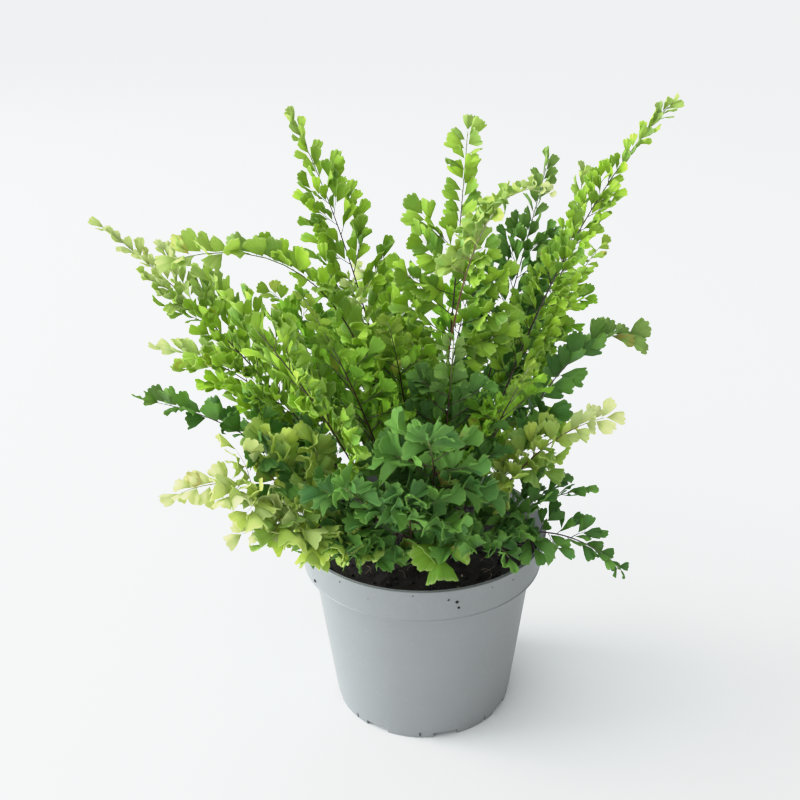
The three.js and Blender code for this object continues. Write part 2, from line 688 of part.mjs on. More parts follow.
function frondGeometry(frond, sections, tip, sway) {
  const leaves = [];
  sections.forEach((section, i) => {
    if (section.pair !== undefined) {
      leaves[section.pair] = leafPair(frond, section, sections[i + 1], sway);
    }
  });
  const shell = new Shell();
  addRib(shell, sections, leaves);
  sections.forEach(({ pair, corners: near }, i) => {
    if (pair === undefined) {
      return;
    }
    const far = sections[i + 1].corners;
    const { left, right } = leaves[pair];
    if (left) {
      addLeaf(shell, left, far.left, near.left);
    }
    if (right) {
      addLeaf(shell, right, near.right, far.right);
    }
  });
  const end = sections.at(-1).corners;
  addLeaf(shell, tip, end.right, end.left);
  return shell.geometry();
}

// ---- The whole ----

const plant = new THREE.Group();
const pot = potGeometry();
const soil = soilGeometry();
plant.add(solidMesh('pot', pot, POT_COLOR, POT_ROUGHNESS));
plant.add(solidMesh('soil', soil, SOIL_COLOR, SOIL_ROUGHNESS));

// Ribs and end leaflets take their places first, and the other leaflets fill in round them.
addObstacle(toSolid(pot));
addObstacle(toSolid(soil));
const ribs = FRONDS.map(ribSections);
ribs.forEach((sections) => addObstacle(ribSolid(sections)));
const tips = ribs.map(tipLeaf);
FRONDS.forEach((frond, index) => {
  const random = seededRandom(FIRST_SEED + SEED_STEP * index);
  const sway = () => SWAY * (2 * random() - 1);
  const geometry = frondGeometry(frond, ribs[index], tips[index], sway);
  plant.add(solidMesh(frond.name, geometry, TONES[frond.tone], LEAF_ROUGHNESS));
});

export default plant;
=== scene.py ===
"""A maidenhair fern in a grey plastic nursery pot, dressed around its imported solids. Metres, +Z up."""

from collections import namedtuple
from math import cos, exp, hypot, pi, radians, sin
from random import Random

import bmesh
import bpy
from bpy.props import FloatProperty, FloatVectorProperty, IntProperty, PointerProperty
from mathutils import Matrix, Vector, noise
from mathutils.geometry import interpolate_bezier


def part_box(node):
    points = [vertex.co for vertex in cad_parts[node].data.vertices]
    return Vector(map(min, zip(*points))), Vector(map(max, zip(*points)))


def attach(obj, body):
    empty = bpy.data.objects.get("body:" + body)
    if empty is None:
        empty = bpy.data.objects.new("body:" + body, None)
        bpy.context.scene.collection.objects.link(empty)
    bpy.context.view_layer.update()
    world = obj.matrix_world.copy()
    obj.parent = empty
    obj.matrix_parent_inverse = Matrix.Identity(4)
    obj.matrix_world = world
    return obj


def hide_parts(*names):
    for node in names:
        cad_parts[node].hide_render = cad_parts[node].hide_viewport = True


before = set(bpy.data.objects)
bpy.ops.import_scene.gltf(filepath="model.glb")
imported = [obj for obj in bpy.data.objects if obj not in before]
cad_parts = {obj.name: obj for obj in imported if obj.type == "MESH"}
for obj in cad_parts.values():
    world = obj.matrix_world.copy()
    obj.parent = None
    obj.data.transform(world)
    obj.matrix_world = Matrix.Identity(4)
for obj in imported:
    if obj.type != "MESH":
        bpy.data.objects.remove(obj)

bl_info = {
    "name": "Potted maidenhair fern",
    "version": (1, 0, 0),
    "blender": (4, 5, 0),
    "location": "3D View > Sidebar > Fern",
    "description": "Builds a maidenhair fern in a nursery pot around its packed solids",
    "category": "Add Mesh",
}

MM = 0.001
UP = Vector((0, 0, 1))
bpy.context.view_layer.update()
RIM_RADIUS, _, POT_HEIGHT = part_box("pot")[1]
SOIL_LEVEL = 87 * MM

# ---- The fronds ----

# Lengths are in millimetres. root is where the stalk leaves the soil, mid the point half way along
# its curve and tip its end. bare is the share of the stalk without leaflets, spread how far its longest
# side branch reaches with the leaflet at its end, roll its turn about its own stalk in degrees, leaf
# the length of a leaflet and habit how its leaflets are laid out.
Frond = namedtuple("Frond", "name root mid tip bare spread roll tone leaf habit")

FRONDS = [Frond("frond_" + name, *row) for name, *row in (
    # Tall fronds that make the outline.
    ("top_centre", (5, 4), (14, 8, 192), (21, 10, 284), 0.42, 38, 52, "light", 9.6, "crest"),
    ("far_left", (-17, 0), (-81, -7, 185), (-138, -5, 244), 0.36, 36, -22, "light", 8, "sprig"),
    ("far_right", (18, 5), (61, 14, 213), (110, 20, 289), 0.36, 17, 45, "light", 7.4, "slim"),
    ("back_left_tall", (-7, 14), (-28, 34, 196), (-61, 60, 281), 0.34, 31, -30, "light", 9.5, "slim"),
    ("left_arch", (-12, -7), (-34, -34, 213), (-95, -70, 243), 0.2, 16, -20, "light", 11.5, "folded"),
    ("back_right_dark", (12, 11), (38, 27, 180), (60, 45, 262), 0.24, 28, 40, "dark", 9.5, "wedge"),
    ("back_right_tall", (10, 20), (62, 50, 182), (80, 72, 252), 0.34, 18, 30, "light", 7.8, "slim"),
    ("young_curl", (4, -9), (19, -35, 230), (49, -60, 264), 0.70, 15, 30, "young", 7.5, "curled"),
    ("near_left", (-13, -15), (-43, -45, 174), (-81, -70, 240), 0.30, 38, -25, "light", 10, "slim"),
    # Fronds that lean out to the sides.
    ("right_middle", (24, 4), (68, 13, 170), (106, 20, 177), 0.38, 17, 25, "dark", 12, "feather"),
    ("right_light", (22, -5), (54, -16, 140), (87, -25, 161), 0.24, 19, 25, "young", 10.5, "plume"),
    ("right_low", (26, -11), (51, -20, 114), (77, -27, 126), 0.26, 22, 0, "dark", 10, "half"),
    ("right_droop", (20, -17), (58, -31, 106), (92, -38, 88), 0.42, 11, 20, "dark", 8, "half"),
    ("left_dark", (-24, -5), (-74, -18, 146), (-124, -25, 170), 0.28, 40, -10, "dark", 11.5, "folded"),
    ("left_middle", (-23, 6), (-75, 20, 153), (-129, 30, 174), 0.28, 36, -20, "light", 10, "wedge"),
    ("left_low", (-20, -13), (-65, -43, 136), (-105, -62, 141), 0.27, 42, -26, "young", 10.5, "round"),
    ("left_droop", (-18, -20), (-51, -50, 121), (-77, -74, 129), 0.26, 26, -25, "young", 9.5, "round"),
    # Shorter fronds that fill the heart of the plant.
    ("heart_left", (-7, -17), (-22, -40, 163), (-45, -62, 229), 0.28, 30, 0, "middle", 8, "fan"),
    ("heart", (-2, -3), (-7, -22, 164), (-14, -44, 214), 0.32, 30, 0, "middle", 8, "fan"),
    ("heart_right", (4, -17), (10, -38, 156), (13, -58, 211), 0.28, 34, 0, "dark", 8, "fan"),
    ("right_inner", (12, -7), (30, -27, 150), (45, -48, 195), 0.30, 34, 10, "middle", 8, "fan"),
    ("crown", (3, -1), (7, -8, 154), (-6, -14, 195), 0.32, 26, 0, "middle", 8, "fan"),
    ("heart_back", (-4, 7), (-17, 12, 156), (-34, 24, 212), 0.32, 30, 0, "light", 8, "fan"),
    # Fronds that lean over the near side of the rim.
    ("front_high", (1, -23), (5, -58, 146), (1, -97, 186), 0.32, 30, 0, "dark", 12, "ruffled"),
    ("front_left", (-9, -24), (-21, -54, 130), (-32, -84, 158), 0.26, 30, 0, "dark", 10.5, "ruffled"),
    ("front_middle", (-4, -29), (-5, -55, 124), (-6, -80, 153), 0.24, 30, 0, "dark", 11, "ruffled"),
    ("front_rim", (7, -28), (8, -46, 109), (7, -68, 110), 0.20, 14, 0, "light", 14, "broad"),
    ("front_right", (13, -21), (29, -47, 110), (38, -69, 112), 0.22, 34, 0, "dark", 10.5, "ruffled"),
    ("front_corner", (-14, -31), (-30, -49, 106), (-48, -66, 117), 0.20, 18, 0, "dark", 10.5, "ruffled"),
    # Fronds that lean out behind.
    ("back_left", (-15, 19), (-51, 57, 160), (-85, 86, 189), 0.32, 36, 0, "middle", 10, "fan"),
    ("back", (-3, 24), (-19, 72, 165), (-34, 113, 192), 0.32, 26, 0, "light", 8.5, "fan"),
    ("back_right", (19, 16), (61, 58, 166), (98, 96, 209), 0.32, 20, 0, "middle", 8.5, "fan"),
    ("back_high", (3, 15), (20, 70, 168), (36, 118, 191), 0.34, 24, 0, "middle", 8.5, "wedge"),
    ("back_left_low", (-23, 15), (-62, 50, 119), (-98, 77, 123), 0.30, 28, 0, "dark", 9.5, "half"),
    ("back_low", (6, 28), (5, 70, 119), (2, 110, 120), 0.30, 28, 0, "dark", 8.5, "fan"),
    ("back_right_low", (25, 12), (58, 36, 125), (73, 58, 128), 0.30, 22, 0, "light", 9.5, "half"),
)]

# Kinds of blade. right and left say how far a blade opens to each side of its middle in radians, and
# lobes how many lobes its outer edge has. Shares of the blade's length are cut, the depth of the clefts
# between the lobes, fall, how much the edge drops to its corners, cup, how far the blade bends, and
# wave, how strongly it waves.
Blade = namedtuple("Blade", "right left lobes cut fall cup wave")

BLADES = {
    "wedge": Blade(0.38, 0.38, 3, 0.09, 0.20, 0.36, 0.05),
    "fan": Blade(0.56, 0.56, 4, 0.11, 0.20, 0.32, 0.06),
    "half": Blade(0.26, 0.66, 3, 0.09, 0.20, 0.34, 0.05),
    "round": Blade(0.66, 0.66, 4, 0.11, 0.18, 0.30, 0.09),
    "broad": Blade(0.76, 0.76, 5, 0.11, 0.16, 0.30, 0.08),
    "ruffled": Blade(0.62, 0.58, 4, 0.15, 0.18, 0.42, 0.19),
    "curled": Blade(0.58, 0.58, 3, 0.10, 0.20, 0.46, 0.10),
}

# How leaflets are laid out. In degrees are forward, their angle to the stalk, lift and fold, their rise
# out of the frond's plane on the main stalk and on a side branch, and twist, the spread of their turns.
# From the share single of the leafy length on, leaflets stand singly and not on side branches. tip is
# the size of the last leaflet against a full one, pale how much paler leaflets get towards the tip and
# bright the tint of the brightest.
Habit = namedtuple("Habit", "blade forward lift fold twist single tip pale bright")

HABITS = {
    "wedge": Habit("wedge", 25, 20, 36, 44, 0.74, 0.84, 1, 1),
    "plume": Habit("fan", 42, 14, 52, 34, 0.55, 0.88, 1, 1),
    "slim": Habit("wedge", 25, 20, 36, 44, 0.74, 0.84, 0.75, 0.95),
    # sprig: its tips are paler than their age alone makes them, partly young growth and partly painted
    # glow of light on the far left tips.
    "sprig": Habit("wedge", 25, 20, 36, 44, 0.70, 0.78, 1.35, 1),
    "crest": Habit("fan", 40, 18, 50, 30, 0.52, 0.86, 0.7, 0.8),
    "fan": Habit("fan", 44, 16, 58, 36, 0.70, 0.72, 1, 1),
    "folded": Habit("fan", 44, 44, 30, 34, 0.45, 0.78, 0.8, 1),
    "feather": Habit("fan", 36, 16, 30, 22, 0.30, 0.85, 1, 1),
    "half": Habit("half", 46, 14, 24, 40, 0.60, 0.72, 0.6, 0.8),
    "round": Habit("round", 50, 16, 34, 34, 0.70, 0.72, 1.3, 1),
    # broad: a low bright darkens the leaflets that lie over the near rim, painted shade of the plant
    # above them.
    "broad": Habit("broad", 50, 20, 20, 40, 0.10, 0.80, 0.2, 0.3),
    "ruffled": Habit("ruffled", 52, 28, 30, 54, 0.75, 0.70, 0.5, 1),
    "curled": Habit("curled", 44, 24, 50, 46, 0.60, 0.45, 0.9, 0.5),
}
# Differently waved leaflets of each kind.
VARIANTS = 4


# ---- Settings ----

def length_setting(name, description, default):
    return FloatProperty(name=name, description=description, default=default, unit="LENGTH")


def color_setting(name, description, default):
    return FloatVectorProperty(
        name=name, description=description, default=default, subtype="COLOR", min=0, max=1)


class PotSettings(bpy.types.PropertyGroup):
    """Sizes and finish of the pot"""
    band_height: length_setting("Band height", "Height of the band round the rim", 17.3 * MM)
    band_foot_radius: length_setting(
        "Band foot radius", "Outside radius at the foot of the rim band", 57.5 * MM)
    wall_top_radius: length_setting(
        "Wall top radius", "Outside radius of the wall under the band", 53.5 * MM)
    base_radius: length_setting("Base radius", "Outside radius where the pot stands", 43.9 * MM)
    wall: length_setting("Wall", "Thickness of the wall", 1.2 * MM)
    notches: IntProperty(
        name="Notches", description="Openings in the foot ring", default=8, min=3)
    color: color_setting("Colour", "Colour of the plastic", (0.222, 0.232, 0.236))


class SoilSettings(bpy.types.PropertyGroup):
    """Sizes and colours of the soil"""
    crumbs: IntProperty(
        name="Crumbs", description="Loose crumbs on the surface", default=900, min=0)
    crumb_size: length_setting("Crumb size", "Radius of a large crumb", 1.7 * MM)
    color: color_setting("Colour", "Colour of the peat", (0.009, 0.006, 0.005))


class FernSettings(bpy.types.PropertyGroup):
    """Sizes and colours of the fronds"""
    blade: length_setting("Blade thickness", "Thickness of a leaflet", 0.22 * MM)
    stalk: length_setting("Stalk radius", "Radius of a frond's stalk at the soil", 0.6 * MM)
    young: color_setting("Young", "Colour of the youngest leaflets", (0.50, 0.70, 0.10))
    light: color_setting("Light", "Colour of light leaflets", (0.345, 0.545, 0.038))
    middle: color_setting("Middle", "Colour of middle leaflets", (0.235, 0.465, 0.027))
    dark: color_setting("Dark", "Colour of the oldest leaflets", (0.13, 0.29, 0.046))


class StageSettings(bpy.types.PropertyGroup):
    """The floor, the light and the camera"""
    key: FloatProperty(
        name="Key light", description="Strength of the light from behind on the left",
        default=0.9, min=0)
    softbox: FloatProperty(
        name="Softbox", description="Power of the wide lamp on the left",
        default=80, min=0, unit="POWER")
    sky: FloatProperty(
        name="Sky", description="Strength of the even light from all round", default=1.15, min=0)
    lens: FloatProperty(
        name="Lens", description="Focal length of the camera", default=45, min=10,
        subtype="DISTANCE_CAMERA", unit="CAMERA")


# ---- Shader maths ----

class Shade:
    """One socket of a node tree, so that shader maths reads as plain expressions."""

    def __init__(self, tree, socket=None):
        self.tree = tree
        self.socket = socket

    def node(self, kind, settings=None, inputs=None, output=0):
        """Adds a node: its settings first, then the values or links of its sockets."""
        added = self.tree.nodes.new(kind)
        for name, value in (settings or {}).items():
            setattr(added, name, value)
        for key, value in (inputs or {}).items():
            if isinstance(value, Shade):
                self.tree.links.new(value.socket, added.inputs[key])
            else:
                added.inputs[key].default_value = value
        return Shade(self.tree, added.outputs[output])

    def principled(self, inputs):
        return self.node("ShaderNodeBsdfPrincipled", {}, inputs)

    def attribute(self, name):
        """A number that each face carries."""
        return self.node("ShaderNodeAttribute", {"attribute_name": name}, output="Fac")

    def bump(self, strength, distance):
        """Normals that are disturbed as if this were the surface's height."""
        inputs = {"Strength": strength, "Distance": distance, "Height": self}
        return self.node("ShaderNodeBump", {}, inputs)

    def other(self, output):
        """Another output of the same node."""
        return Shade(self.tree, self.socket.node.outputs[output])

    def math(self, operation, *values):
        return self.node("ShaderNodeMath", {"operation": operation}, dict(enumerate(values)))

    def mix(self, low, high):
        """The colour low where this is 0 and high where it is 1."""
        settings = {"data_type": "RGBA", "clamp_factor": True}
        return self.node("ShaderNodeMix", settings, {0: self, 6: low, 7: high}, output=2)

    def step(self, low, high):
        """0 under low and 1 over high, smooth between them."""
        inputs = {"Value": self, "From Min": low, "From Max": high}
        return self.node("ShaderNodeMapRange", {"interpolation_type": "SMOOTHSTEP"}, inputs)

    def __add__(self, other):
        return self.math("ADD", self, other)

    def __radd__(self, other):
        return self.math("ADD", other, self)

    def __sub__(self, other):
        return self.math("SUBTRACT", self, other)

    def __rsub__(self, other):
        return self.math("SUBTRACT", other, self)

    def __mul__(self, other):
        return self.math("MULTIPLY", self, other)

    def __rmul__(self, other):
        return self.math("MULTIPLY", other, self)

    def __pow__(self, other):
        return self.math("POWER", self, other)


def new_material(name):
    """A material with an empty node tree, and the Shade that its nodes start from."""
    material = bpy.data.materials.new(name)
    material.use_nodes = True
    material.node_tree.nodes.clear()
    return material, Shade(material.node_tree)


def finish_material(material, surface):
    output = material.node_tree.nodes.new("ShaderNodeOutputMaterial")
    material.node_tree.links.new(surface.socket, output.inputs["Surface"])
    return material


def grain(start, scale, detail=3.0, roughness=0.6):
    """Noise from 0 to 1 in the part's own space, with scale in features a metre."""
    place = start.node("ShaderNodeTexCoord", output="Object")
    inputs = {"Vector": place, "Scale": scale, "Detail": detail, "Roughness": roughness}
    return start.node("ShaderNodeTexNoise", {}, inputs)


def opaque(color):
    return (*color, 1)


def scaled(color, factor):
    """The colour made lighter or darker."""
    return opaque([min(1, channel * factor) for channel in color])


# ---- Materials ----

VEINS = 11
TRANSLUCENCY = 0.28
BROWN = (0.42, 0.30, 0.06, 1)


def plastic_material(color):
    """Matte moulded plastic: faintly cloudy, with a fine grain and a little dust."""
    material, start = new_material("pot_plastic")
    cloud = grain(start, 38)
    dust = grain(start, 420, 4).step(0.52, 0.75)
    tone = cloud.mix(scaled(color, 0.93), scaled(color, 1.07))
    tone = (dust * 0.05).mix(tone, (0.55, 0.55, 0.53, 1))
    surface = start.principled({
        "Base Color": tone, "Roughness": 0.42 + 0.14 * cloud,
        "Normal": grain(start, 2600, 2).bump(0.08, 0.1 * MM), "IOR": 1.49, "Specular IOR Level": 0.6})
    return finish_material(material, surface)


def soil_material(name, dark, pale):
    """Moist peat: near black, with brown fibres and a broken surface."""
    material, start = new_material(name)
    lump = grain(start, 260, 5, 0.7)
    fibre = grain(start, 900, 6, 0.75).step(0.55, 0.72)
    tone = fibre.mix(lump.mix(scaled(dark, 0.6), scaled(dark, 1.5)), opaque(pale))
    surface = start.principled({
        "Base Color": tone, "Roughness": 0.75 + 0.2 * fibre,
        "Normal": (lump + 0.4 * fibre).bump(0.9, 0.5 * MM), "Specular IOR Level": 0.3})
    return finish_material(material, surface)


def speckled_material(name, scale, low, high, roughness):
    """A matte surface speckled between two colours."""
    material, start = new_material(name)
    tone = grain(start, scale).mix(opaque(low), opaque(high))
    return finish_material(material, start.principled({"Base Color": tone, "Roughness": roughness}))


def stalk_material(name, color, fresh):
    """A fern's polished wiry stalk, which is still soft and pale near the frond's tip."""
    material, start = new_material(name)
    age = start.attribute("age")
    streak = grain(start, 700)
    tone = streak.mix(scaled(color, 0.6), scaled(color, 1.5))
    surface = start.principled({
        "Base Color": age.step(0.3, 0.0).mix(tone, opaque(fresh)),
        "Roughness": 0.28 + 0.12 * streak, "Specular IOR Level": 0.6})
    return finish_material(material, surface)


def leaf_material(name, color, fresh, glow):
    """A thin leaflet: fine veins that fork out from its base, a paler margin and a soft waxy skin.
    Each leaflet has a tint of its own, and an age that falls from 1 at the frond's foot to its tip."""
    material, start = new_material(name)
    tint = start.attribute("tint")
    age = start.attribute("age")
    blade = start.node("ShaderNodeUVMap", {"uv_map": "blade"})
    across = start.node("ShaderNodeSeparateXYZ", {}, {"Vector": blade})
    out = across.other("Y")
    turn = across * (VEINS * 2 * pi)
    veins = (turn.math("COSINE", turn) * 0.5 + 0.5) ** 6
    mottle = grain(start, 330)
    deep = (0.32 * color[0], 0.48 * color[1], 0.65 * color[2], 1)
    cool = (0.55 * color[0], 0.85 * color[1], 1.5 * color[2], 1)
    tone = tint.mix(deep, scaled(color, 1.65))
    layers = [
        # Paler towards the frond's tip, and cooler in patches further down.
        (age.step(0.45, 0.0) * 0.85, opaque(fresh)),
        (grain(start, 60, 1).step(0.5, 0.65) * age * 0.55, cool),
        # Darker at the leaflet's base, painted shade where leaflets overlap and cup, and mottled.
        (out.step(0.8, 0.1) * 0.6, scaled(color, 0.32)),
        (mottle.step(0.45, 0.75) * 0.25, scaled(color, 0.7)),
        # Veins, margin, and spots of brown on a few leaflets.
        (veins * out * 0.16, opaque(fresh)),
        (out.step(0.85, 1.0) * 0.18, opaque(fresh)),
        (tint.step(0.965, 0.99) * mottle.step(0.4, 0.6) * 0.7, BROWN),
    ]
    for cover, layer in layers:
        tone = cover.mix(tone, layer)
    skin = start.principled({
        "Base Color": tone, "Roughness": 0.5 + 0.15 * mottle,
        "Normal": (0.5 * mottle - veins * out).bump(0.35, 0.12 * MM), "Specular IOR Level": 0.25})
    through = start.node("ShaderNodeBsdfTranslucent", {}, {"Color": opaque(glow)})
    surface = start.node("ShaderNodeMixShader", {}, {0: TRANSLUCENCY, 1: skin, 2: through})
    return finish_material(material, surface)


# ---- Making pieces ----

def new_object(name, bm, materials=()):
    """An object at the origin with the bmesh as its shape. The bmesh is freed."""
    mesh = bpy.data.meshes.new(name)
    bm.to_mesh(mesh)
    bm.free()
    for material in materials:
        mesh.materials.append(material)
    item = bpy.data.objects.new(name, mesh)
    bpy.context.scene.collection.objects.link(item)
    return item


def add_piece(name, bm, materials, slot, *nodes):
    """A finished piece, which rides on the part and stands for the named solids."""
    piece = new_object(name, bm, materials)
    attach(piece, "root")
    if nodes:
        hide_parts(*nodes)


def spun(profile, steps):
    """A closed solid of revolution from (radius, height) points that start and end on the axis."""
    bm = bmesh.new()
    verts = [bm.verts.new((radius, 0, height)) for radius, height in profile]
    edges = [bm.edges.new(pair) for pair in zip(verts, verts[1:])]
    bmesh.ops.spin(bm, geom=verts + edges, axis=UP, angle=2 * pi, steps=steps, use_merge=True)
    bmesh.ops.remove_doubles(bm, verts=bm.verts, dist=0.001 * MM)
    bmesh.ops.recalc_face_normals(bm, faces=bm.faces)
    for face in bm.faces:
        face.smooth = True
    return bm


def arc(centre, radius, start, end, steps):
    """Points round a bend of a profile, from one angle to another in degrees."""
    angles = [radians(start + (end - start) * i / steps) for i in range(steps + 1)]
    return [(centre[0] + radius * cos(a), centre[1] + radius * sin(a)) for a in angles]


# ---- Pot ----

POT_STEPS = 128
POT_CREASE = radians(38)
FLOOR_RISE = 3 * MM
FOOT_RING = 3.4 * MM
PAD_RADIUS = 12 * MM
PAD_SLOPE = 1.6 * MM
FLOOR_FILLET = 1.6 * MM
FOOT_FILLET = 0.8 * MM
BAND_FILLET = 0.6 * MM
LIP_WIDTH = 1.8 * MM
LIP_ROUND = 0.4 * MM
LIP_STEP = 0.15 * MM
GROOVE_PLACE = 0.5
GROOVE_WIDTH = 0.6 * MM
GROOVE_DEPTH = 0.9 * MM
BAND_INSIDE = 1.5 * MM
BEAD = 0.6 * MM
NOTCH_WIDTH = 12 * MM
NOTCH_HEIGHT = 2.8 * MM
NOTCH_TURN = radians(14)
SLIT_SIZE = (1.1 * MM, 3 * MM, 7 * MM)
SLIT_TURN = radians(-16)
DRAINS = 4
DRAIN_RADIUS = 3.5 * MM
DRAIN_CIRCLE = 27 * MM

# Crumbs of soil on the pot: the turn from the front in degrees, the height and the radius in mm.
SPECKS = [
    (11, 88.6, 0.65), (14.7, 86.8, 1.0), (15.8, 83.4, 0.85), (-4, 91.6, 0.45), (31, 90.5, 0.4),
    (-59, 80.2, 0.95), (-60, 72.8, 0.5), (-24, 86.5, 0.4), (-38, 90.8, 0.5), (43, 89.2, 0.45),
    (118, 84.0, 0.6), (164, 78.5, 0.4), (-133, 88.0, 0.5), (-102, 66.0, 0.4), (72, 58.0, 0.35),
]


def pot_profile(pot):
    """Half of the pot's section, from its inside floor over the rim to its underside."""
    band_foot = POT_HEIGHT - pot.band_height
    floor = FLOOR_RISE + pot.wall
    inner_rim = RIM_RADIUS - LIP_WIDTH
    corner = pot.base_radius - pot.wall - FLOOR_FILLET
    under_band = (pot.wall_top_radius + BAND_FILLET, band_foot - BAND_FILLET)
    foot_inner = pot.base_radius - FOOT_RING
    groove = inner_rim + GROOVE_PLACE * LIP_WIDTH
    return [
        (0, floor),
        (corner, floor),
        *arc((corner, floor + FLOOR_FILLET), FLOOR_FILLET, -80, -5, 3),
        (pot.wall_top_radius - pot.wall, band_foot),
        (pot.band_foot_radius - pot.wall, band_foot + pot.wall),
        (inner_rim, POT_HEIGHT - BAND_INSIDE),
        *arc((inner_rim + LIP_ROUND, POT_HEIGHT - LIP_ROUND), LIP_ROUND, 180, 90, 3),
        (groove - GROOVE_WIDTH / 2, POT_HEIGHT),
        (groove - GROOVE_WIDTH / 4, POT_HEIGHT - GROOVE_DEPTH),
        (groove + GROOVE_WIDTH / 4, POT_HEIGHT - GROOVE_DEPTH),
        (groove + GROOVE_WIDTH / 2, POT_HEIGHT - LIP_STEP),
        *arc((RIM_RADIUS - LIP_ROUND, POT_HEIGHT - LIP_STEP - LIP_ROUND), LIP_ROUND, 90, 0, 3),
        (pot.band_foot_radius + 0.05 * MM, band_foot + 2.1 * BEAD),
        *arc((pot.band_foot_radius - BEAD / 4, band_foot + BEAD), BEAD, 65, -90, 4),
        *arc(under_band, BAND_FILLET, 90, 175, 3),
        (pot.base_radius + 0.9 * MM, 6 * MM),
        (pot.base_radius + 0.3 * MM, 3 * MM),
        *arc((pot.base_radius - FOOT_FILLET, FOOT_FILLET), FOOT_FILLET, 0, -90, 3),
        (foot_inner, 0),
        (foot_inner, FLOOR_RISE),
        (PAD_RADIUS + PAD_SLOPE, FLOOR_RISE),
        (PAD_RADIUS, 0),
        (0, 0),
    ]


def outside_radius(pot, height):
    """Radius of the pot's outside at a height."""
    band_foot = POT_HEIGHT - pot.band_height
    if height > band_foot:
        share = (height - band_foot) / pot.band_height
        return pot.band_foot_radius + (RIM_RADIUS - pot.band_foot_radius) * share
    return pot.base_radius + (pot.wall_top_radius - pot.base_radius) * height / band_foot


def box_cutter(bm, size, matrix):
    bmesh.ops.create_cube(bm, size=1, matrix=matrix @ Matrix.Diagonal((*size, 1)))


def pot_cutters(pot):
    """Solids that open the foot ring and the floor."""
    bm = bmesh.new()
    for i in range(pot.notches):
        turn = Matrix.Rotation(NOTCH_TURN + 2 * pi * i / pot.notches, 4, "Z")
        place = turn @ Matrix.Translation((0, -pot.base_radius, 0))
        box_cutter(bm, (NOTCH_WIDTH, 4 * FOOT_RING, 2 * NOTCH_HEIGHT), place)
        slit = Matrix.Rotation(SLIT_TURN, 4, "Z") @ place
        box_cutter(bm, SLIT_SIZE, slit)
    for i in range(DRAINS):
        turn = Matrix.Rotation(2 * pi * i / DRAINS, 4, "Z")
        place = turn @ Matrix.Translation((DRAIN_CIRCLE, 0, FLOOR_RISE + pot.wall / 2))
        bmesh.ops.create_cone(bm, cap_ends=True, segments=24, radius1=DRAIN_RADIUS,
                              radius2=DRAIN_RADIUS, depth=4 * pot.wall, matrix=place)
    return bm


def cut_by(bm, cutters):
    """The solid less the cutters, by an exact Boolean."""
    body = new_object("body", bm)
    tool = new_object("tool", cutters)
    modifier = body.modifiers.new("cut", "BOOLEAN")
    modifier.operation = "DIFFERENCE"
    modifier.solver = "EXACT"
    modifier.object = tool
    view = bpy.context.evaluated_depsgraph_get()
    result = bmesh.new()
    result.from_mesh(body.evaluated_get(view).to_mesh())
    for item in (body, tool):
        bpy.data.meshes.remove(item.data)
    return result


class FERN_OT_pot(bpy.types.Operator):
    """Builds the moulded pot with its rim band, foot ring and drain holes"""
    bl_idname = "fern.pot"
    bl_label = "Pot"

    def execute(self, context):
        pot = context.scene.fern_pot
        bm = cut_by(spun(pot_profile(pot), POT_STEPS), pot_cutters(pot))
        for edge in bm.edges:
            edge.smooth = edge.is_manifold and edge.calc_face_angle(0) < POT_CREASE
        add_piece("nursery_pot", bm, [plastic_material(pot.color)], "pot", "pot")
        self.add_specks(context)
        return {"FINISHED"}

    def add_specks(self, context):
        """Crumbs of soil stuck to the outside of the pot."""
        pot = context.scene.fern_pot
        rng = Random(5)
        bm = bmesh.new()
        for turn, height, size in SPECKS:
            radius = outside_radius(pot, height * MM)
            place = Matrix.Rotation(radians(turn), 3, "Z") @ Vector((0, -radius, height * MM))
            add_crumb(bm, rng, place, size * MM)
        material = soil_material("speck", context.scene.fern_soil.color, (0.03, 0.02, 0.012))
        add_piece("pot_specks", bm, [material], "soil")


# ---- Soil ----

SOIL_STEPS = 120
SOIL_RING = 1.1 * MM
CROWN_RISE = 2.6 * MM
CROWN_RADIUS = 24 * MM
EDGE_FALL = 1.6 * MM
SEAT_GAP = 0.3 * MM
CRUMB_SEED = 3
GRIT = 26
FIBRES = 70
FIBRE_RADIUS = 0.09 * MM
FIBRE_POINTS = 6

# Lumps of the soil's surface: how many to a metre, and their height.
LUMPS = ((140, 1.1 * MM), (520, 0.5 * MM))


def soil_height(x, y):
    """Height of the soil's surface: a rise at the crown and a fall at the wall."""
    radius = hypot(x, y)
    crown = CROWN_RISE * exp(-((radius / CROWN_RADIUS) ** 2))
    fall = EDGE_FALL * (radius / RIM_RADIUS) ** 4
    return SOIL_LEVEL + crown - fall


def broken(place, scale, height):
    """Lumpy height at a place on the soil."""
    return height * noise.fractal(place * scale, 0.9, 2.1, 4)


def soil_body(pot):
    """The soil that fills the pot, with a lumpy upper surface."""
    gap = pot.wall + 2 * SEAT_GAP
    band_foot = POT_HEIGHT - pot.band_height
    floor = FLOOR_RISE + pot.wall + 2 * SEAT_GAP
    edge = pot.band_foot_radius - gap
    rings = int(edge / SOIL_RING)
    top = [(edge * (rings - i) / rings, SOIL_LEVEL) for i in range(rings + 1)]
    profile = [
        (0, floor),
        (pot.base_radius - gap, floor),
        (pot.wall_top_radius - gap, band_foot),
        (edge, band_foot + gap),
        *top,
    ]
    bm = spun(profile, SOIL_STEPS)
    for vert in bm.verts:
        if vert.co.z > SOIL_LEVEL - SEAT_GAP:
            x, y, _ = vert.co
            vert.co.z = soil_height(x, y) + sum(broken(vert.co, *lump) for lump in LUMPS)
    return bm


def scatter(rng, radius):
    """A random place on the soil within a radius of its middle."""
    turn = 2 * pi * rng.random()
    reach = radius * rng.random() ** 0.5
    return reach * cos(turn), reach * sin(turn)


def random_turn(rng):
    axis = Vector((rng.gauss(0, 1), rng.gauss(0, 1), rng.gauss(0, 1)))
    return Matrix.Rotation(2 * pi * rng.random(), 4, axis.normalized())


